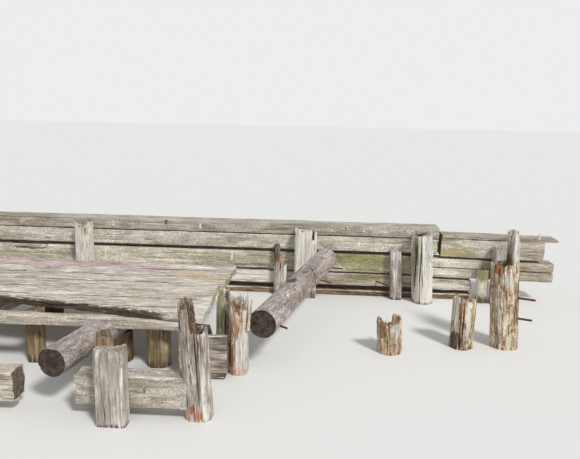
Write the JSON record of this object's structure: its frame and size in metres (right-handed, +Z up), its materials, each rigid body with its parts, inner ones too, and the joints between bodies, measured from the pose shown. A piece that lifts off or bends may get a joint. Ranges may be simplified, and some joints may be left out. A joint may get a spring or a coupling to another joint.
{
  "type": "derelict wooden jetty",
  "caption": "Old wooden jetty in bays: a wall of stacked timbers behind posts, part of a plank deck on log bearers, a loose log and rotted piles.",
  "frame": {"origin": "centre of the foot of the middle wall post, at the water level", "axes": "+X along the wall towards its sunken right end, +Y through the wall away from the shore, +Z up"},
  "size_m": [8.3493, 3.98, 1.2905],
  "materials": {
    "weathered_timber": "weathered, rough, uncoated",
    "mossy_timber": "weathered, rough, uncoated",
    "wet_timber": "weathered, rough, uncoated",
    "bleached_post": "weathered, rough, uncoated",
    "deck_timber": "weathered, rough, uncoated",
    "round_log": "weathered, rough, uncoated",
    "rotten_wood": "weathered, rough, uncoated"
  },
  "bodies": {
    "root": {"wall_cap": "weathered_timber", "wall_upper_beam": "weathered_timber", "wall_lower_beam": "weathered_timber", "right_cap_plank": "weathered_timber", "right_upper_beam": "weathered_timber", "right_middle_plank": "weathered_timber", "right_lower_plank": "weathered_timber", "right_bottom_beam": "weathered_timber", "side_block": "weathered_timber", "outer_beam_right": "weathered_timber", "outer_beam_left": "weathered_timber", "deck_front_beam": "weathered_timber", "wall_middle_beam": "mossy_timber", "mossy_stake": "mossy_timber", "mossy_pile": "mossy_timber", "wall_foot_beam": "wet_timber", "wall_post_stub": "wet_timber", "bearer_pile_1": "wet_timber", "bearer_pile_2": "wet_timber", "bearer_pile_3": "wet_timber", "bearer_back_pile_1": "wet_timber", "bearer_back_pile_2": "wet_timber", "bearer_back_pile_3": "wet_timber", "wall_post_far_left": "bleached_post", "wall_post_left": "bleached_post", "wall_post_middle": "bleached_post", "wall_post_right": "bleached_post", "corner_pile": "bleached_post", "leaning_stake": "bleached_post", "outer_post_1": "bleached_post", "outer_post_2": "bleached_post", "outer_post_3": "bleached_post", "deck_plank_1": "deck_timber", "deck_plank_2": "deck_timber", "deck_plank_3": "deck_timber", "deck_plank_4": "deck_timber", "deck_plank_5": "deck_timber", "deck_plank_6": "deck_timber", "deck_plank_7": "deck_timber", "loose_log": "round_log", "bearer_log_1": "round_log", "bearer_log_2": "round_log", "bearer_log_3": "round_log", "tall_rotten_pile": "rotten_wood", "split_stub": "rotten_wood", "low_stub": "rotten_wood", "torn_pile": "rotten_wood", "thin_stake": "rotten_wood", "outer_end_pile": "rotten_wood", "outer_back_post": "rotten_wood", "deck_pile_1": "rotten_wood", "deck_pile_2": "rotten_wood", "deck_pile_3": "rotten_wood"}
  },
  "joints": []
}
